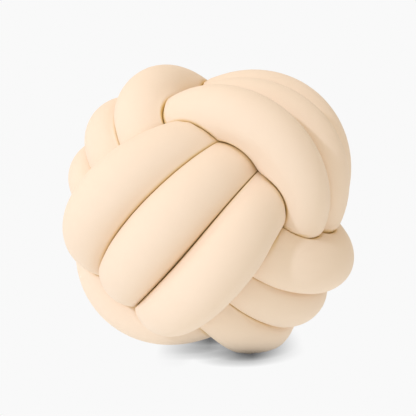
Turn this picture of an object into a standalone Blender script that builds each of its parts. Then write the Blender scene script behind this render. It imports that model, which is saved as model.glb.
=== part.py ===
"""Knot cushion: a long tube of cloth, stuffed, tied as a monkey's fist and joined end to end inside it.

The tube makes three bands of three turns. Each band lies square to the other two, over one of them and
under the other. Where two stretches press on each other the cloth lies flat between them, so each section
of the tube is a round one cut back to its share of the room.
"""

import math

import bpy
import numpy as np

# Where the tube's middle line runs, in metres from the ball's centre
REACH_CENTRE_TURN = 0.1235  # outside, on the centre turn of a band
REACH_SIDE_TURN = 0.1141  # outside, on the two side turns
REACH_INSIDE = 0.0604  # where a band passes inside
SPACING_OUTSIDE = 0.0552  # between neighbouring turns, outside
SPACING_INSIDE = 0.0275  # between neighbouring turns, inside

# The tube, in metres
RADIUS_OUTSIDE = 0.0312
RADIUS_INSIDE = 0.0365  # larger, as the tube is bunched up where it dives
CLEARANCE = 0.0014  # left between two stretches that just touch
CLEARANCE_GROWTH = 0.0060  # added in full if the middle lines met, as hard pressed faces curve more
FLOOR_CUT = 0.0070  # how far the lowest stretches are pressed flat

# How the line changes from inside to outside of the ball, as powers of one wave
REACH_POWER = 0.69
SPACING_POWER = 1.26
RADIUS_POWER = 0.30
OFFSET_POWER = 0.40
WAVE_LIFT = 0.03

TURNS = 3
SHIFT_SHARE = 0.16  # share of a turn over which the tube moves half a place sideways
ELBOW_SHARE = 0.05  # share of a turn at each end of a band that the elbow to the next band replaces
ELBOW_PULL = 1.2
BEND_SHARE = 0.90  # most of a bend's own radius that its inner side may take
OWN_REACH = 1.15  # stretches nearer along the tube than this many times their two radii are one bend
SMOOTHNESS = 12.0  # power that rounds the edge between a free side and a pressed one

STEPS_PER_TURN = 100
ELBOW_STEPS = 24
NEIGHBOUR_STEPS = 1240
RINGS = 416
SIDES = 12

# Directions in the room from the ball's centre: out of the front face, and out of the upper right face
FRONT_WAY = (-0.344, -0.934, -0.094)
UPPER_RIGHT_WAY = (0.613, -0.299, 0.731)

# The two faces of each band
BANDS = (("front", "back"), ("upper_right", "lower_left"), ("lower_right", "upper_left"))

# How each stretch on a face differs from the even knot, as it is tied and stuffed by hand. "out" and
# "across" are millimetres outwards and sideways towards the next turn. Each lean is how much more that is
# where the stretch ends, and how much less where it starts. The last column is its share of the girth.
# A stretch with no row is even.
COLUMNS = ("face", "turn", "out", "out_lean", "across", "across_lean", "girth")
STRETCHES = (
    ("front", 1, 10, 0, 5, 0, 1.00),
    ("front", 2, 0, 0, 10, 5, 1.10),
    ("front", 3, 5, -10, 10, -5, 1.05),
    ("upper_right", 1, 10, 0, 0, 10, 0.95),
    ("upper_right", 2, 0, 15, 0, 5, 1.05),
    ("upper_right", 3, 5, 0, 0, 0, 1.05),
    ("lower_left", 1, -5, 0, 0, 0, 1.00),
    ("lower_right", 1, 0, 0, 5, -10, 1.00),
    ("lower_right", 2, -5, -5, 0, -5, 1.00),
    ("lower_right", 3, 0, 0, -10, 0, 1.05),
    ("upper_left", 1, 0, 0, 5, -10, 1.10),
    ("upper_left", 3, -5, 5, -5, 0, 1.00),
)
EVEN = {"out": 0, "out_lean": 0, "across": 0, "across_lean": 0, "girth": 1.0}

CLOTH_COLOUR = (0.86, 0.73, 0.57, 1.0)


def clear_scene():
    for old in list(bpy.data.objects):
        bpy.data.objects.remove(old, do_unlink=True)


def wave_share(angle, power):
    """0 where a band passes inside, 1 where it is farthest outside."""
    low = WAVE_LIFT**power
    return ((np.cos(angle) ** 2 + WAVE_LIFT) ** power - low) / ((1 + WAVE_LIFT) ** power - low)


def turn_place(turns):
    """Which of the three places side by side the tube holds, -1, 0 or 1, moving over at each whole turn."""
    share = turns - np.floor(turns)
    leave = np.sin(0.5 * math.pi * np.minimum(share / SHIFT_SHARE, 1.0))
    arrive = np.sin(0.5 * math.pi * np.minimum((1.0 - share) / SHIFT_SHARE, 1.0))
    return np.floor(turns) - 1.0 + 0.5 * (leave - arrive)


def unevenness(faces, half_turns, column):
    """One column of STRETCHES along a band, a value for each sample."""
    table = {(row[0], row[1]): row[COLUMNS.index(column)] for row in STRETCHES}
    values = [table.get((faces[half % 2], half // 2 + 1), EVEN[column]) for half in range(2 * TURNS)]
    return np.array(values, float)[half_turns]


def band_path(faces, axes):
    """Middle line and radius of one band, from one end of its three turns to the other."""
    turns = np.linspace(ELBOW_SHARE, TURNS - ELBOW_SHARE, TURNS * STEPS_PER_TURN + 1)
    half_turns = np.minimum(np.floor(2 * turns).astype(int), 2 * TURNS - 1)
    angle = 2 * math.pi * (turns - 0.25)
    lean = np.sin(angle - math.pi * (half_turns % 2))
    place = turn_place(turns)
    outside = wave_share(angle, REACH_POWER)
    out = unevenness(faces, half_turns, "out") + lean * unevenness(faces, half_turns, "out_lean")
    farthest = REACH_CENTRE_TURN + (REACH_SIDE_TURN - REACH_CENTRE_TURN) * np.clip(np.abs(place), 0, 1) ** 2
    reach = REACH_INSIDE + (farthest + 0.001 * out - REACH_INSIDE) * outside
    spacing = SPACING_INSIDE + (SPACING_OUTSIDE - SPACING_INSIDE) * wave_share(angle, SPACING_POWER)
    offset = unevenness(faces, half_turns, "across") + lean * unevenness(faces, half_turns, "across_lean")
    across = place * spacing + 0.001 * offset * wave_share(angle, OFFSET_POWER)
    girth = 1 + (unevenness(faces, half_turns, "girth") - 1) * outside
    radius = RADIUS_INSIDE + (RADIUS_OUTSIDE - RADIUS_INSIDE) * wave_share(angle, RADIUS_POWER)
    line = np.stack([reach * np.cos(angle), reach * np.sin(angle), across], axis=1)
    return line @ np.array(axes), radius * girth


def unit(way):
    return way / np.linalg.norm(way)


def elbow(start, start_way, end, end_way):
    """The bend inside the ball that leads from one band into the next."""
    share = np.linspace(0, 1, ELBOW_STEPS + 2)[1:-1, None]
    pull = ELBOW_PULL * np.linalg.norm(end - start)
    return (
        (2 * share**3 - 3 * share**2 + 1) * start
        + (share**3 - 2 * share**2 + share) * pull * start_way
        + (3 * share**2 - 2 * share**3) * end
        + (share**3 - share**2) * pull * end_way
    )


def whole_path():
    """The closed middle line of the whole tube and its radius."""
    front = unit(np.array(FRONT_WAY))
    right = np.array(UPPER_RIGHT_WAY)
    right = unit(right - (right @ front) * front)
    left = np.cross(front, right)
    axes = ((front, right, left), (right, -left, -front), (-left, front, -right))
    bands = [band_path(faces, ways) for faces, ways in zip(BANDS, axes)]
    lines = []
    radii = []
    for index, (line, radius) in enumerate(bands):
        following = bands[(index + 1) % len(bands)][0]
        bend = elbow(line[-1], unit(line[-1] - line[-2]), following[0], unit(following[1] - following[0]))
        lines += [line, bend]
        radii += [radius, np.full(len(bend), RADIUS_INSIDE)]
    return np.concatenate(lines), np.concatenate(radii)


def even_steps(line, radius, count):
    """The closed line again in equal steps: centres, radii and the whole length."""
    loop = np.vstack([line, line[:1]])
    along = np.concatenate([[0.0], np.cumsum(np.linalg.norm(np.diff(loop, axis=0), axis=1))])
    stops = np.linspace(0, along[-1], count + 1)[:-1]
    centres = np.stack([np.interp(stops, along, loop[:, axis]) for axis in range(3)], axis=1)
    return centres, np.interp(stops, along, np.append(radius, radius[0])), along[-1]


def section_rays(centres):
    """Tangents, and the directions of each section's sides, the first one away from the ball's centre."""
    step = np.roll(centres, -1, axis=0) - np.roll(centres, 1, axis=0)
    tangents = step / np.linalg.norm(step, axis=1)[:, None]
    outward = centres - (centres * tangents).sum(axis=1)[:, None] * tangents
    outward = outward / np.linalg.norm(outward, axis=1)[:, None]
    sideways = np.cross(tangents, outward)
    turn = 2 * math.pi * np.arange(SIDES)[None, :, None] / SIDES
    return tangents, np.cos(turn) * outward[:, None, :] + np.sin(turn) * sideways[:, None, :]


def room_between(centres, radii, rays, tube):
    """How far each side may go before it meets the flat face it shares with another stretch of the tube."""
    others, other_radii, length = tube
    apart = centres[:, None, :] - others[None, :, :]
    square = (apart**2).sum(axis=2)
    here = length * np.arange(len(centres)) / len(centres)
    there = length * np.arange(len(others)) / len(others)
    along = np.abs(here[:, None] - there[None, :])
    along = np.minimum(along, length - along)
    reach = radii[:, None] + other_radii[None, :]
    near = (along > OWN_REACH * reach) & (square < (2.6 * radii.max()) ** 2)
    squeeze = 1 - np.sqrt(square) / reach
    clearance = CLEARANCE + CLEARANCE_GROWTH * np.maximum(squeeze, 0)
    shared = square + radii[:, None] ** 2 - other_radii[None, :] ** 2
    room = np.ones(rays.shape[:2])
    for side in range(rays.shape[1]):
        facing = -2 * np.einsum("ik,ijk->ij", rays[:, side], apart)
        meets = near & (facing > 1e-9)
        distance = np.where(meets, shared / np.where(meets, facing, 1.0) - 0.5 * clearance, 1.0)
        room[:, side] = distance.min(axis=1)
    return np.maximum(room, 0.003)


def room_in_bend(tangents, rays, length):
    """How far the inner side of a bend may go before the sections cross."""
    bend = (np.roll(tangents, -1, axis=0) - np.roll(tangents, 1, axis=0)) * len(tangents) / (2 * length)
    inward = np.maximum((rays * bend[:, None, :]).sum(axis=2), 1e-3)
    return BEND_SHARE / inward


def rested(points):
    """The points moved so that the ball stands at height 0, its lowest spots pressed flat."""
    low = points.min(axis=(0, 1))
    high = points.max(axis=(0, 1))
    points = points - np.array([0.5 * (low[0] + high[0]), 0.5 * (low[1] + high[1]), low[2] + FLOOR_CUT])
    points[:, :, 2] = np.maximum(points[:, :, 2], 0.0)
    return points


def knot_points():
    """The corner points of all sections of the tied tube, at rest on the floor."""
    line, radius = whole_path()
    tube = even_steps(line, radius, NEIGHBOUR_STEPS)
    centres, radii, length = even_steps(line, radius, RINGS)
    tangents, rays = section_rays(centres)
    room = np.minimum(room_between(centres, radii, rays, tube), room_in_bend(tangents, rays, length))
    reach = (radii[:, None] ** -SMOOTHNESS + room**-SMOOTHNESS) ** (-1 / SMOOTHNESS)
    return rested(centres[:, None, :] + reach[:, :, None] * rays)


def skin_faces(rings, sides):
    """Quads between each section and the next, right round the closed loop."""
    faces = []
    for ring in range(rings):
        start = ring * sides
        following = (ring + 1) % rings * sides
        for side in range(sides):
            beside = (side + 1) % sides
            faces.append((start + side, start + beside, following + beside, following + side))
    return faces


def plain_cloth(name, colour):
    material = bpy.data.materials.new(name)
    material.use_nodes = True
    shader = material.node_tree.nodes["Principled BSDF"]
    shader.inputs["Base Color"].default_value = colour
    shader.inputs["Roughness"].default_value = 0.9
    return material


def build():
    clear_scene()
    collection = bpy.data.collections.new("knot_cushion")
    bpy.context.scene.collection.children.link(collection)
    points = knot_points()
    mesh = bpy.data.meshes.new("knot_tube")
    mesh.from_pydata(points.reshape(-1, 3).tolist(), [], skin_faces(RINGS, SIDES))
    mesh.update()
    mesh.polygons.foreach_set("use_smooth", [True] * len(mesh.polygons))
    mesh.materials.append(plain_cloth("cloth", CLOTH_COLOUR))
    collection.objects.link(bpy.data.objects.new("knot_tube", mesh))


build()
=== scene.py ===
# %% [markdown]
# # A knot cushion
#
# The cushion is one long tube of stretch cloth, stuffed with fibre and tied as a monkey's fist: three
# bands of three turns, each band square to the other two. The two ends of the tube are joined inside
# the ball, so the tube is a closed loop and no seam shows.
#
# The imported solid of the cushion is loaded first, and the corners of its box are printed.

# %% Load the frame
import math
import time

import bpy
import numpy as np
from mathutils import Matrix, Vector


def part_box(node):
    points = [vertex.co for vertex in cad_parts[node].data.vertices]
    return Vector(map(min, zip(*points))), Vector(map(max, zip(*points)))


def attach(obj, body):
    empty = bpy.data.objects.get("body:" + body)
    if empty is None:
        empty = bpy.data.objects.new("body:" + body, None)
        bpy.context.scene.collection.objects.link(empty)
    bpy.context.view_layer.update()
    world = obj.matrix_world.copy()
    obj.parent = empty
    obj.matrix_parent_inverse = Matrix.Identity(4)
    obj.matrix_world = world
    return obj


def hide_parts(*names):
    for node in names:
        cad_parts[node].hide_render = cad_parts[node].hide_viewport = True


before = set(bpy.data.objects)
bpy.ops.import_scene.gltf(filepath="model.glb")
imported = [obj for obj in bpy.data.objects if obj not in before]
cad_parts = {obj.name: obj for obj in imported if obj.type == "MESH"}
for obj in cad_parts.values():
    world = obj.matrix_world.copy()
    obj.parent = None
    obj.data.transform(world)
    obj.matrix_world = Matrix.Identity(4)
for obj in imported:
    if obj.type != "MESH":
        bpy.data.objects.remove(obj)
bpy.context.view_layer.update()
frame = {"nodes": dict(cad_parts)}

started = time.time()
node_name = next(iter(frame["nodes"]))
lowest_corner, highest_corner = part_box(node_name)
print("solid", node_name, "from", tuple(lowest_corner), "to", tuple(highest_corner))

# %% [markdown]
# ## The sizes of the knot
#
# The solid is coarse, because it only has to weigh and collide like the cushion. Smoothing it would
# round off the creases where two turns press on each other, and those creases are what makes a tied
# knot look tied. So the tube is laid again along the same line, with far finer sections.
#
# All lengths are in metres, and the knot is worked out around its own middle.

# %% Sizes of the knot
REACH_CENTRE_TURN = 0.1235  # from the middle to the tube's middle line, on the centre turn of a band
REACH_SIDE_TURN = 0.1141  # the same on the two side turns
REACH_INSIDE = 0.0604  # where a band passes inside the ball
SPACING_OUTSIDE = 0.0552  # between neighbouring turns, outside
SPACING_INSIDE = 0.0275  # between neighbouring turns, inside
RADIUS_OUTSIDE = 0.0312
RADIUS_INSIDE = 0.0365  # the tube is bunched up where it dives

REACH_POWER = 0.69  # how fast the line rises from inside to outside
SPACING_POWER = 1.26
RADIUS_POWER = 0.30
OFFSET_POWER = 0.40
WAVE_LIFT = 0.03

TURNS = 3
SHIFT_SHARE = 0.16  # share of a turn over which the tube moves half a place sideways
ELBOW_SHARE = 0.05  # share of a turn at each end of a band that the elbow to the next one replaces
ELBOW_PULL = 1.2

FRONT_WAY = (-0.344, -0.934, -0.094)  # out of the front face of the knot
UPPER_RIGHT_WAY = (0.613, -0.299, 0.731)  # out of the upper right face
BANDS = (("front", "back"), ("upper_right", "lower_left"), ("lower_right", "upper_left"))

# %% [markdown]
# A knot tied by hand is never even. Each row below is one stretch of tube that clearly differs, on
# one face of the ball, in steps of 5 mm. A stretch with no row is even.
# "out" and "across" say how many millimetres it lies outwards, and sideways towards the next turn.
# Each lean says how much more that is where the stretch ends, and how much less where it starts. The
# last number is its share of the usual girth, because the stuffing is not spread evenly either.

# %% How each stretch differs
COLUMNS = ("face", "turn", "out", "out_lean", "across", "across_lean", "girth")
STRETCHES = (
    ("front", 1, 10, 0, 5, 0, 1.00),
    ("front", 2, 0, 0, 10, 5, 1.10),
    ("front", 3, 5, -10, 10, -5, 1.05),
    ("upper_right", 1, 10, 0, 0, 10, 0.95),
    ("upper_right", 2, 0, 15, 0, 5, 1.05),
    ("upper_right", 3, 5, 0, 0, 0, 1.05),
    ("lower_left", 1, -5, 0, 0, 0, 1.00),
    ("lower_right", 1, 0, 0, 5, -10, 1.00),
    ("lower_right", 2, -5, -5, 0, -5, 1.00),
    ("lower_right", 3, 0, 0, -10, 0, 1.05),
    ("upper_left", 1, 0, 0, 5, -10, 1.10),
    ("upper_left", 3, -5, 5, -5, 0, 1.00),
)
EVEN = {"out": 0, "out_lean": 0, "across": 0, "across_lean": 0, "girth": 1.0}


def unevenness(faces, half_turns, column):
    """One column of STRETCHES along a band, a value for each sample."""
    table = {(row[0], row[1]): row[COLUMNS.index(column)] for row in STRETCHES}
    values = [table.get((faces[half % 2], half // 2 + 1), EVEN[column]) for half in range(2 * TURNS)]
    return np.array(values, float)[half_turns]


print(len(STRETCHES), "of the 18 outer stretches differ from the even knot")

# %% [markdown]
# ## The tube's middle line
#
# Seen along its axis a band runs round an oval: far out where it lies over another band, and near the
# middle where it passes under. One wave, raised to a power, does that for the reach, the spacing and
# the radius. At each whole turn the tube moves over to the next of three places side by side.

# %% The wave and the place of a turn


def wave_share(angle, power):
    """0 where a band passes inside, 1 where it is farthest outside."""
    low = WAVE_LIFT**power
    return ((np.cos(angle) ** 2 + WAVE_LIFT) ** power - low) / ((1 + WAVE_LIFT) ** power - low)


def turn_place(turns):
    """Which of the three places side by side the tube holds: -1, 0 or 1."""
    share = turns - np.floor(turns)
    leave = np.sin(0.5 * math.pi * np.minimum(share / SHIFT_SHARE, 1.0))
    arrive = np.sin(0.5 * math.pi * np.minimum((1.0 - share) / SHIFT_SHARE, 1.0))
    return np.floor(turns) - 1.0 + 0.5 * (leave - arrive)


# %% One band of three turns
STEPS_PER_TURN = 100


def band_path(faces, axes):
    """Middle line and radius of one band, from one end of its three turns to the other."""
    turns = np.linspace(ELBOW_SHARE, TURNS - ELBOW_SHARE, TURNS * STEPS_PER_TURN + 1)
    half_turns = np.minimum(np.floor(2 * turns).astype(int), 2 * TURNS - 1)
    angle = 2 * math.pi * (turns - 0.25)
    lean = np.sin(angle - math.pi * (half_turns % 2))
    place = turn_place(turns)
    outside = wave_share(angle, REACH_POWER)
    out = unevenness(faces, half_turns, "out") + lean * unevenness(faces, half_turns, "out_lean")
    side = np.clip(np.abs(place), 0, 1) ** 2
    farthest = REACH_CENTRE_TURN + (REACH_SIDE_TURN - REACH_CENTRE_TURN) * side
    reach = REACH_INSIDE + (farthest + 0.001 * out - REACH_INSIDE) * outside
    spacing = SPACING_INSIDE + (SPACING_OUTSIDE - SPACING_INSIDE) * wave_share(angle, SPACING_POWER)
    across_lean = lean * unevenness(faces, half_turns, "across_lean")
    offset = 0.001 * (unevenness(faces, half_turns, "across") + across_lean)
    across = place * spacing + offset * wave_share(angle, OFFSET_POWER)
    girth = 1 + (unevenness(faces, half_turns, "girth") - 1) * outside
    radius = RADIUS_INSIDE + (RADIUS_OUTSIDE - RADIUS_INSIDE) * wave_share(angle, RADIUS_POWER)
    line = np.stack([reach * np.cos(angle), reach * np.sin(angle), across], axis=1)
    return line @ np.array(axes), radius * girth


# %% [markdown]
# The three bands are the same loop turned to three square directions. Inside the ball a short elbow
# leads from each band into the next, so the whole tube closes on itself.

# %% The whole closed line
ELBOW_STEPS = 24


def unit(way):
    return way / np.linalg.norm(way)


def elbow(start, start_way, end, end_way):
    """The bend inside the ball that leads from one band into the next."""
    share = np.linspace(0, 1, ELBOW_STEPS + 2)[1:-1, None]
    pull = ELBOW_PULL * np.linalg.norm(end - start)
    return (
        (2 * share**3 - 3 * share**2 + 1) * start
        + (share**3 - 2 * share**2 + share) * pull * start_way
        + (3 * share**2 - 2 * share**3) * end
        + (share**3 - share**2) * pull * end_way
    )


def whole_path():
    """The closed middle line of the whole tube and its radius."""
    front = unit(np.array(FRONT_WAY))
    right = np.array(UPPER_RIGHT_WAY)
    right = unit(right - (right @ front) * front)
    left = np.cross(front, right)
    axes = ((front, right, left), (right, -left, -front), (-left, front, -right))
    bands = [band_path(faces, ways) for faces, ways in zip(BANDS, axes)]
    lines = []
    radii = []
    for index, (line, radius) in enumerate(bands):
        following = bands[(index + 1) % len(bands)][0]
        way_in = unit(line[-1] - line[-2])
        way_out = unit(following[1] - following[0])
        bend = elbow(line[-1], way_in, following[0], way_out)
        lines += [line, bend]
        radii += [radius, np.full(len(bend), RADIUS_INSIDE)]
    return np.concatenate(lines), np.concatenate(radii)


def even_steps(line, radius, count):
    """The closed line again in equal steps: centres, radii and the whole length."""
    loop = np.vstack([line, line[:1]])
    along = np.concatenate([[0.0], np.cumsum(np.linalg.norm(np.diff(loop, axis=0), axis=1))])
    stops = np.linspace(0, along[-1], count + 1)[:-1]
    centres = np.stack([np.interp(stops, along, loop[:, axis]) for axis in range(3)], axis=1)
    return centres, np.interp(stops, along, np.append(radius, radius[0])), along[-1]


knot_line, knot_radius = whole_path()
tube_length = even_steps(knot_line, knot_radius, 10)[2]
print(f"tube of {tube_length:.2f} m")

# %% [markdown]
# ## Sections that press flat on each other
#
# Two stuffed tubes that are pulled together share a flat face where they touch, and stay round where
# nothing touches them. So each section starts as a circle, and every side of it is cut back to the
# face that it shares with its nearest neighbour. A power mean of the radius and that room rounds the
# edge between the free side and the pressed one, as the stretched cloth does.

# %% Room around a section
CLEARANCE = 0.0003  # left between two stretches that touch
BEND_SHARE = 0.90  # most of a bend's own radius that its inner side may take
OWN_REACH = 1.15  # stretches nearer along the tube than this many times their two radii are one bend
SMOOTHNESS = 26.0  # power that rounds the edge between a free side and a pressed one
LEAST_ROOM = 0.003
NEIGHBOUR_RANGE = 2.6  # how many radii away another stretch can still press
NEIGHBOUR_STEPS = 2400


def section_rays(centres, sides):
    """Tangents, and the directions of each section's sides, the first one away from the middle."""
    step = np.roll(centres, -1, axis=0) - np.roll(centres, 1, axis=0)
    tangents = step / np.linalg.norm(step, axis=1)[:, None]
    outward = centres - (centres * tangents).sum(axis=1)[:, None] * tangents
    outward = outward / np.linalg.norm(outward, axis=1)[:, None]
    sideways = np.cross(tangents, outward)
    turn = 2 * math.pi * np.arange(sides)[None, :, None] / sides
    return tangents, np.cos(turn) * outward[:, None, :] + np.sin(turn) * sideways[:, None, :]


def room_between(centres, radii, rays, tube):
    """How far each side may go before it meets the flat face it shares with another stretch."""
    others, other_radii, length = tube
    apart = centres[:, None, :] - others[None, :, :]
    square = (apart**2).sum(axis=2)
    here = length * np.arange(len(centres)) / len(centres)
    there = length * np.arange(len(others)) / len(others)
    along = np.abs(here[:, None] - there[None, :])
    along = np.minimum(along, length - along)
    reach = radii[:, None] + other_radii[None, :]
    near = (along > OWN_REACH * reach) & (square < (NEIGHBOUR_RANGE * radii.max()) ** 2)
    shared = square + radii[:, None] ** 2 - other_radii[None, :] ** 2
    room = np.ones(rays.shape[:2])
    for side in range(rays.shape[1]):
        facing = -2 * np.einsum("ik,ijk->ij", rays[:, side], apart)
        meets = near & (facing > 1e-9)
        distance = np.where(meets, shared / np.where(meets, facing, 1.0) - 0.5 * CLEARANCE, 1.0)
        room[:, side] = distance.min(axis=1)
    return np.maximum(room, LEAST_ROOM)


def room_in_bend(tangents, rays, length):
    """How far the inner side of a bend may go before the sections cross."""
    bend = (np.roll(tangents, -1, axis=0) - np.roll(tangents, 1, axis=0)) * len(tangents) / (2 * length)
    inward = np.maximum((rays * bend[:, None, :]).sum(axis=2), 1e-3)
    return BEND_SHARE / inward


# %% [markdown]
# Most of a section is round or flat, and only the edge where it meets its neighbour turns sharply.
# So each section is worked out with many sides first. Then it is drawn again with fewer corners,
# which are moved together where the section turns and apart where it is plain.

# %% Fewer corners, in better places
FINE_SIDES = 224
TURN_WEIGHT = 1.6  # how much a turning edge draws the corners in, against its plain length


def smoothed_along(values, spread):
    """Values averaged with the same place on the neighbouring sections, and a little round them."""
    weights = np.exp(-0.5 * (np.arange(-2 * spread, 2 * spread + 1) / spread) ** 2)
    weights /= weights.sum()
    total = sum(w * np.roll(values, k - 2 * spread, axis=0) for k, w in enumerate(weights))
    return 0.25 * np.roll(total, 1, axis=1) + 0.5 * total + 0.25 * np.roll(total, -1, axis=1)


def corner_places(points, sides):
    """Where the corners go round each section, counted in fine sides."""
    step = np.roll(points, -1, axis=1) - points
    length = np.linalg.norm(step, axis=2)
    way = step / np.maximum(length, 1e-9)[:, :, None]
    turn = np.arccos(np.clip((way * np.roll(way, 1, axis=1)).sum(axis=2), -1, 1))
    turn = 0.5 * (turn + np.roll(turn, -1, axis=1))
    length = length / length.sum(axis=1)[:, None]
    turn = turn / turn.sum(axis=1)[:, None]
    density = smoothed_along(length + TURN_WEIGHT * turn, 3)
    measure = np.concatenate([np.zeros((len(points), 1)), np.cumsum(density, axis=1)], axis=1)
    measure /= measure[:, -1:]
    stops = np.arange(sides) / sides
    fine = np.arange(points.shape[1] + 1)
    return np.stack([np.interp(stops, row, fine) for row in measure])


def resampled(fine, places):
    """Values of the fine sides, taken at the chosen places."""
    ring = np.arange(len(fine))[:, None]
    below = np.floor(places).astype(int)
    share = (places - below).reshape(places.shape + (1,) * (fine.ndim - 2))
    sides = fine.shape[1]
    return (1 - share) * fine[ring, below % sides] + share * fine[ring, (below + 1) % sides]


# %% [markdown]
# The knot stands on its lowest stretches. Its weight presses them flat on the floor, so everything
# that would reach below the floor is brought up to it.

# %% The skin of the tied tube
FLOOR_CUT = 0.0070  # how far the lowest stretches are pressed flat
RINGS = 1200
SIDES = 80


def knot_skin(rings, sides):
    """Corners of all sections, their places round the tube, how deep they are pressed, the middle."""
    tube = even_steps(knot_line, knot_radius, NEIGHBOUR_STEPS)
    centres, radii, length = even_steps(knot_line, knot_radius, rings)
    tangents, rays = section_rays(centres, FINE_SIDES)
    room = np.minimum(room_between(centres, radii, rays, tube), room_in_bend(tangents, rays, length))
    reach = (radii[:, None] ** -SMOOTHNESS + room**-SMOOTHNESS) ** (-1 / SMOOTHNESS)
    fine = centres[:, None, :] + reach[:, :, None] * rays
    places = corner_places(fine, sides)
    points = resampled(fine, places)
    pressed = resampled(radii[:, None] - reach, places)
    low = points.min(axis=(0, 1))
    high = points.max(axis=(0, 1))
    middle = -np.array([0.5 * (low[0] + high[0]), 0.5 * (low[1] + high[1]), low[2] + FLOOR_CUT])
    points = points + middle
    points[:, :, 2] = np.maximum(points[:, :, 2], 0.0)
    return points, places / FINE_SIDES, pressed, middle


skin, round_share, pressed_depth, knot_middle = knot_skin(RINGS, SIDES)
print("skin of", skin.shape[0], "sections by", skin.shape[1], "corners, middle at", knot_middle.round(4))

# %% [markdown]
# ## The cloth as a mesh
#
# The mesh keeps the order of the sections, so every corner knows how far along the tube and how far
# round it lies. A UV map holds both, counted in stitches: rows of stitches run round the tube and
# columns run along it. The counts are whole numbers, so the knit closes on itself both ways.

# %% Build the tube
STITCH_COLUMNS = 210
STITCH_LENGTH = 0.00085
STITCH_ROWS = int(round(tube_length / STITCH_LENGTH))


def skin_faces(rings, sides):
    """Quads between each section and the next, right round the closed loop."""
    ring, side = np.meshgrid(np.arange(rings), np.arange(sides), indexing="ij")
    beside = (side + 1) % sides
    following = (ring + 1) % rings
    ring = ring * sides
    following = following * sides
    corners = [ring + side, ring + beside, following + beside, following + side]
    return np.stack(corners, axis=2).reshape(-1, 4)


def stitch_map(share):
    """Where each corner of each quad lies, in stitch rows along the tube and columns round it."""
    rings, sides = share.shape
    ring = np.broadcast_to(np.arange(rings)[:, None], share.shape)
    row = np.stack([ring, ring, ring + 1, ring + 1], axis=2) * STITCH_ROWS / rings
    here = np.concatenate([share, share[:, :1] + 1], axis=1)
    following = np.roll(here, -1, axis=0)
    column = np.stack([here[:, :-1], here[:, 1:], following[:, 1:], following[:, :-1]], axis=2)
    return np.stack([row, column * STITCH_COLUMNS], axis=3).reshape(-1, 2)


def tube_object(name, points, share, pressed):
    rings, sides = points.shape[:2]
    mesh = bpy.data.meshes.new(name)
    mesh.from_pydata(points.reshape(-1, 3).tolist(), [], skin_faces(rings, sides).tolist())
    stitches = mesh.uv_layers.new(name="stitches")
    stitches.uv.foreach_set("vector", stitch_map(share).astype(np.float32).ravel())
    depth = mesh.attributes.new("pressed_depth", "FLOAT", "POINT")
    depth.data.foreach_set("value", pressed.astype(np.float32).ravel())
    mesh.update()
    mesh.polygons.foreach_set("use_smooth", [True] * len(mesh.polygons))
    piece = bpy.data.objects.new(name, mesh)
    bpy.context.scene.collection.objects.link(piece)
    return piece


print("stitches:", STITCH_ROWS, "rows of", STITCH_COLUMNS)

# %% [markdown]
# ## The filling presses on the cloth
#
# So far every free side is part of a circle. Real cloth bulges more where the tube runs free, and
# less where it bends or where another stretch holds it down. A cloth simulation finds that. It runs
# on every second section and corner, drawn in a little, so that the cloth can swell out from the
# inside. Pressure stands for the filling, and collisions of the cloth with itself for the tight knot.

# %% Simulate the cover
EVERY = 2  # sections and corners that the simulation takes
DRAWN_IN = 0.0007  # where the trial cloth starts, inside its final place
GROWTH = 0.012  # how much longer each thread may grow, as jersey stretches
FRAMES = 14


def drawn_in(points, depth):
    """The same sections, each corner moved towards the tube's own middle line."""
    inward = points.mean(axis=1, keepdims=True) - points
    inward /= np.linalg.norm(inward, axis=2, keepdims=True)
    return points + depth * inward


def simulated(points, share, pressed):
    """The cloth after its filling has pressed on it for a few frames."""
    piece = tube_object("cloth_trial", points, share, pressed)
    cloth = piece.modifiers.new("cloth", "CLOTH")
    settings = cloth.settings
    settings.quality = 5
    settings.mass = 0.2
    settings.tension_stiffness = 15.0
    settings.compression_stiffness = 15.0
    settings.shear_stiffness = 5.0
    settings.bending_stiffness = 0.5
    settings.shrink_min = -GROWTH
    settings.use_pressure = True
    settings.uniform_pressure_force = 4.0
    settings.effector_weights.gravity = 0.0
    contact = cloth.collision_settings
    contact.use_collision = False
    contact.use_self_collision = True
    contact.self_distance_min = 0.001
    contact.self_friction = 5.0
    contact.collision_quality = 2
    cloth.point_cache.frame_start = 1
    cloth.point_cache.frame_end = FRAMES
    for frame_number in range(1, FRAMES + 1):
        bpy.context.scene.frame_set(frame_number)
    graph = bpy.context.evaluated_depsgraph_get()
    result = piece.evaluated_get(graph).to_mesh()
    settled = np.empty(points.size, np.float32)
    result.vertices.foreach_get("co", settled)
    piece.evaluated_get(graph).to_mesh_clear()
    bpy.context.scene.frame_set(1)
    mesh = piece.data
    bpy.data.objects.remove(piece)
    bpy.data.meshes.remove(mesh)
    return settled.reshape(points.shape).astype(float)


# %% [markdown]
# Only the free sides take over what the simulation found. Where two stretches press on each other
# the flat faces stay as they are, so the creases stay tight and the cloth never runs through itself.
# No point moves more than a few millimetres. The moves are then spread evenly over all corners of
# the finer skin, and the floor stops them as before.

# %% Take over the swelling
LARGEST_MOVE = 0.0025
FREE_DEPTH = 0.0012  # a corner pressed in deeper than this belongs to a pressed face
MOVE_PASSES = 6
EDGE_PASSES = 2


def spread_moves(moves):
    """Moves of the coarse corners, given to all corners of the fine skin."""
    for axis in (0, 1):
        between = 0.5 * (moves + np.roll(moves, -1, axis=axis))
        shape = list(moves.shape)
        shape[axis] *= 2
        moves = np.stack([moves, between], axis=axis + 1).reshape(shape)
    return moves


def smoothed_round(values, passes):
    for _ in range(passes):
        for axis in (0, 1):
            beside = np.roll(values, 1, axis=axis) + np.roll(values, -1, axis=axis)
            values = 0.5 * values + 0.25 * beside
    return values


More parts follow.
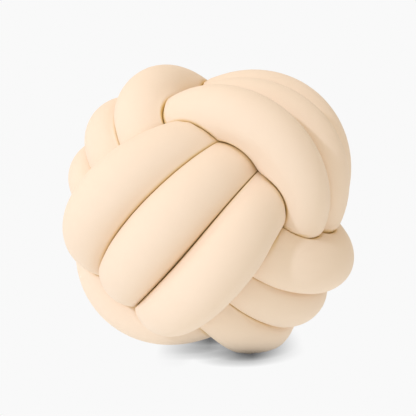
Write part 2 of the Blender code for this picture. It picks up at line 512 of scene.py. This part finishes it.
def swollen(points, share, pressed):
    coarse = points[::EVERY, ::EVERY]
    start = drawn_in(coarse, DRAWN_IN)
    moves = simulated(start, share[::EVERY, ::EVERY], pressed[::EVERY, ::EVERY]) - coarse
    distance = np.linalg.norm(moves, axis=2, keepdims=True)
    print("moves in mm, half of them under", (1000 * np.median(distance)).round(2))
    moves *= np.minimum(1.0, LARGEST_MOVE / np.maximum(distance, 1e-9))
    moves = smoothed_round(spread_moves(moves), MOVE_PASSES)
    free = np.clip(1.0 - pressed / FREE_DEPTH, 0.0, 1.0)
    moves *= smoothed_round(free, EDGE_PASSES)[:, :, None]
    result = points + moves
    result[:, :, 2] = np.maximum(result[:, :, 2], 0.0)
    return result


skin = swollen(skin, round_share, pressed_depth)
cover = tube_object("cushion_cover", skin, round_share, pressed_depth)
print(cover.name, "has", len(cover.data.polygons), "quads")

# %% [markdown]
# ## Shader maths
#
# A socket wrapped in this class takes part in plain Python expressions, and each operation adds its
# Math node. Everything else goes through one method that makes a node, sets it and links it.

# %% A small class for node trees


class Value:
    """An output socket that can be added, scaled and compared in an expression."""

    def __init__(self, finish, socket):
        self.finish = finish
        self.socket = socket

    def math(self, operation, *others):
        inputs = {index + 1: other for index, other in enumerate(others)}
        inputs[0] = self
        node = self.finish.node("ShaderNodeMath", {"operation": operation}, inputs)
        return Value(self.finish, node.outputs[0])

    def reflected(self, operation, other):
        node = self.finish.node("ShaderNodeMath", {"operation": operation}, {0: other, 1: self})
        return Value(self.finish, node.outputs[0])

    def __add__(self, other):
        return self.math("ADD", other)

    def __radd__(self, other):
        return self.reflected("ADD", other)

    def __sub__(self, other):
        return self.math("SUBTRACT", other)

    def __rsub__(self, other):
        return self.reflected("SUBTRACT", other)

    def __mul__(self, other):
        return self.math("MULTIPLY", other)

    def __rmul__(self, other):
        return self.reflected("MULTIPLY", other)


class Finish:
    """The nodes of a material, or of the surroundings."""

    def __init__(self, owner):
        owner.use_nodes = True
        self.tree = owner.node_tree
        self.shader = self.tree.nodes.get("Principled BSDF") or self.tree.nodes["Background"]

    def feed(self, socket, value):
        """Links a socket to a Value or an output, or sets a plain number or colour on it."""
        if isinstance(value, Value):
            value = value.socket
        if isinstance(value, bpy.types.NodeSocket):
            self.tree.links.new(value, socket)
        else:
            socket.default_value = value

    def node(self, kind, settings=None, inputs=None):
        """A new node of this kind, its settings first, then its sockets."""
        node = self.tree.nodes.new(kind)
        for name, value in (settings or {}).items():
            setattr(node, name, value)
        for name, value in (inputs or {}).items():
            self.feed(node.inputs[name], value)
        return node

    def value(self, kind, settings=None, inputs=None, output=0):
        return Value(self, self.node(kind, settings, inputs).outputs[output])

    def mix(self, factor, first, second):
        """A colour between two others."""
        node = self.node("ShaderNodeMix", {"data_type": "RGBA"}, {0: factor, 6: first, 7: second})
        return node.outputs[2]

    def surface(self, **inputs):
        """Sets or links the shader's own sockets, spaces written as underscores."""
        for name, value in inputs.items():
            self.feed(self.shader.inputs[name.replace("_", " ")], value)


# %% [markdown]
# ## The cloth
#
# The cover is a fine brushed jersey: matt, soft to the touch, with a very small stitch. Its face shows
# columns of little slanted loops. The brushing raises a short nap, which blurs the stitches and
# catches light at the edges of the tube, so the shader has some sheen.
# The creases are darkened with painted shade, put into the base colour.

# %% Cloth colours
CREAM = (0.905, 0.738, 0.566, 1.0)
CREAM_DEEP = (0.885, 0.703, 0.527, 1.0)
# The last colour is painted shade: the darker, warmer brown that the creases take where shade falls.
CREASE_PAINTED_SHADE = (0.830, 0.620, 0.270, 1.0)

jersey = bpy.data.materials.new("cream_jersey")
cloth = Finish(jersey)

# %% The stitches
stitches = cloth.node("ShaderNodeUVMap", {"uv_map": "stitches"})
counted = cloth.node("ShaderNodeSeparateXYZ", None, {0: stitches.outputs[0]})
row = Value(cloth, counted.outputs[0])
column = Value(cloth, counted.outputs[1])
from_middle = (column.math("FRACT") - 0.5).math("ABSOLUTE")
loops = ((row + from_middle) * (2 * math.pi)).math("COSINE")
groove = (from_middle * 2).math("POWER", 3)
stitch_height = 0.5 * loops * (1 - groove) - 0.9 * groove

# %% [markdown]
# The nap and the small lumps of the filling come from noise in the object's own space, because they
# do not follow the stitches.

# %% Nap, lumps, the whole relief and the painted shade in the creases
STITCH_DEPTH = 0.00007  # heights of the relief, in metres
NAP_DEPTH = 0.00010
LUMP_DEPTH = 0.0006
CREASE_SHADE_SHARPNESS = 400.0  # the painted shade in the creases is full about 3 mm below the round tube
place = cloth.node("ShaderNodeTexCoord").outputs["Object"]


def noise(scale, detail, roughness=0.5):
    inputs = {"Vector": place, "Scale": scale, "Detail": detail, "Roughness": roughness}
    return cloth.value("ShaderNodeTexNoise", None, inputs)


nap = noise(1400.0, 2.0, 0.6)
mottle = noise(55.0, 3.0, 0.55)
lumps = noise(28.0, 1.0)
relief = STITCH_DEPTH * stitch_height + NAP_DEPTH * nap + LUMP_DEPTH * lumps
bump = cloth.node("ShaderNodeBump", None, {"Height": relief, "Distance": 1.0, "Strength": 1.0})
shade = mottle * 0.5 + nap * 0.35
depth = cloth.value("ShaderNodeAttribute", {"attribute_name": "pressed_depth"}, None, 2)
# Painted shade: the colour turns to the crease brown where a section is pressed in.
painted_crease_shade = (depth * CREASE_SHADE_SHARPNESS - 0.1).math("MINIMUM", 1.0).math("MAXIMUM", 0.0)
open_colour = cloth.mix(shade, CREAM_DEEP, CREAM)
colour = cloth.mix(painted_crease_shade, open_colour, CREASE_PAINTED_SHADE)
cloth.surface(Base_Color=colour, Roughness=0.92, Sheen_Weight=0.12, Sheen_Roughness=0.45)
cloth.surface(Normal=bump.outputs[0], Specular_IOR_Level=0.25)
cover.data.materials.append(jersey)
print("cloth finish with", len(cloth.tree.nodes), "nodes")

# %% [markdown]
# ## Floor, light and camera
#
# The cushion stands on a plain white floor that glows evenly; close round where it touches, a shadow is
# painted into that glow. The light around it is stronger overhead and on the left than low on the
# right, as from a large window, and one small cool lamp from the upper left throws the edges of the
# upper turns onto the lower ones.

# %% The floor and its painted shadow
FLOOR_SIDE = 60.0
FLOOR_TONE = 0.947
FLOOR_BOUNCE = 1.05  # a well lit white floor throws up more light than a picture of it can show
OPEN_SIDE = (-0.4, 0.8, 0.6)  # the side from which the painted shadow is measured; it falls away from this side
SHADE_MIDDLE = 0.020  # across the floor, where the painted shade under the ball is deepest
SHADE_REACH = 0.075  # either side of that
WIDE_SHADE = (0.80, 0.030)  # strength, and reach in metres
CLOSE_SHADE = (0.35, 0.015)

bpy.ops.mesh.primitive_plane_add(size=FLOOR_SIDE)
floor = bpy.context.object
floor.name = "floor"
white_floor = bpy.data.materials.new("white_floor")
paper = Finish(white_floor)
open_way = paper.node("ShaderNodeCombineXYZ", None, dict(enumerate(OPEN_SIDE)))


def shade_within(strength, reach):
    """Painted shadow: how much of the floor's glow is taken away for what lies within this reach."""
    inputs = {"Distance": reach, "Normal": open_way.outputs[0]}
    open_light = paper.value("ShaderNodeAmbientOcclusion", {"samples": 16}, inputs, output=1)
    return strength * (1.0 - open_light)


# Painted shadow: the floor's glow is darkened close round the ball, most under it and less to either
# side.
painted_floor_shadow = shade_within(*WIDE_SHADE) + shade_within(*CLOSE_SHADE)
place = paper.node("ShaderNodeNewGeometry").outputs["Position"]
across = paper.value("ShaderNodeSeparateXYZ", None, {0: place})
under = (across - SHADE_MIDDLE).math("ABSOLUTE") * (-1.4 / SHADE_REACH) + 1.4
light_left_by_painted_shadow = 1.0 - painted_floor_shadow * under.math("MAXIMUM", 0.0).math("MINIMUM", 1.0)
white = (1.0, 1.0, 1.0, 1.0)
looked_at = paper.value("ShaderNodeLightPath")
thrown_up = (FLOOR_BOUNCE / FLOOR_TONE,) * 3 + (1.0,)
# The floor's glow with the painted shadow in it. It is brighter for light thrown onto the cushion than
# for the camera.
floor_glow_with_painted_shadow = paper.mix(light_left_by_painted_shadow, (0.0, 0.0, 0.0, 1.0), paper.mix(looked_at, thrown_up, white))
paper.surface(Base_Color=(0.0, 0.0, 0.0, 1.0), Roughness=1.0, Specular_IOR_Level=0.0)
paper.surface(Emission_Color=floor_glow_with_painted_shadow, Emission_Strength=FLOOR_TONE)
white_floor.cycles.emission_sampling = "NONE"
floor.data.materials.append(white_floor)

# %% The light
EVEN_LIGHT = 0.48
TOP_LIGHT = 0.60  # more than that towards the top side, and less away from it
TOP_SIDE = (-0.38, -0.10, 0.92)
TOP_COLOUR = (1.08, 1.0, 0.88, 1.0)
LAMP_FROM = (-0.60, -0.60, 0.50)
LAMP_STRENGTH = 0.98
LAMP_COLOUR = (0.87, 1.0, 1.34)
LAMP_ANGLE = math.radians(4)

world = bpy.data.worlds.new("surround")
bpy.context.scene.world = world
surround = Finish(world)
way = surround.node("ShaderNodeTexCoord").outputs["Generated"]
side = surround.node("ShaderNodeCombineXYZ", None, dict(enumerate(TOP_SIDE))).outputs[0]
height = surround.value("ShaderNodeVectorMath", {"operation": "DOT_PRODUCT"}, {0: way, 1: side}, 1)
strength = (height * TOP_LIGHT + EVEN_LIGHT).math("MAXIMUM", 0.0)
seen_directly = surround.value("ShaderNodeLightPath")
surround.surface(
    Color=surround.mix(seen_directly, TOP_COLOUR, white),
    Strength=strength + seen_directly * (FLOOR_TONE - strength),
)

lamp_data = bpy.data.lights.new("lamp", "SUN")
lamp_data.energy = LAMP_STRENGTH
lamp_data.color = LAMP_COLOUR
lamp_data.angle = LAMP_ANGLE
lamp = bpy.data.objects.new("lamp", lamp_data)
bpy.context.scene.collection.objects.link(lamp)
lamp.rotation_euler = Vector(LAMP_FROM).to_track_quat("Z", "Y").to_euler()

# %% The camera
CAMERA_DISTANCE = 1.393
CAMERA_RISE = math.radians(10)
LENS = 118.1
SENSOR = 36.0

camera_data = bpy.data.cameras.new("camera")
camera_data.lens = LENS
camera_data.sensor_width = SENSOR
camera_data.shift_x = -0.0034
camera_data.shift_y = 0.0065
camera = bpy.data.objects.new("camera", camera_data)
bpy.context.scene.collection.objects.link(camera)
back = Vector((0.0, -math.cos(CAMERA_RISE), math.sin(CAMERA_RISE)))
camera.location = Vector(knot_middle) + CAMERA_DISTANCE * back
camera.rotation_euler = (math.pi / 2 - CAMERA_RISE, 0.0, 0.0)
bpy.context.scene.camera = camera
bpy.context.scene.view_settings.view_transform = "Standard"
print("camera at", tuple(round(value, 3) for value in camera.location))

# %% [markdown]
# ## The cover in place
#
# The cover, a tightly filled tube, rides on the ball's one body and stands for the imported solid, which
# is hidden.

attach(cover, "root")
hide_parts(node_name)

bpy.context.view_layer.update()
print(f"made in {time.time() - started:.1f} s")
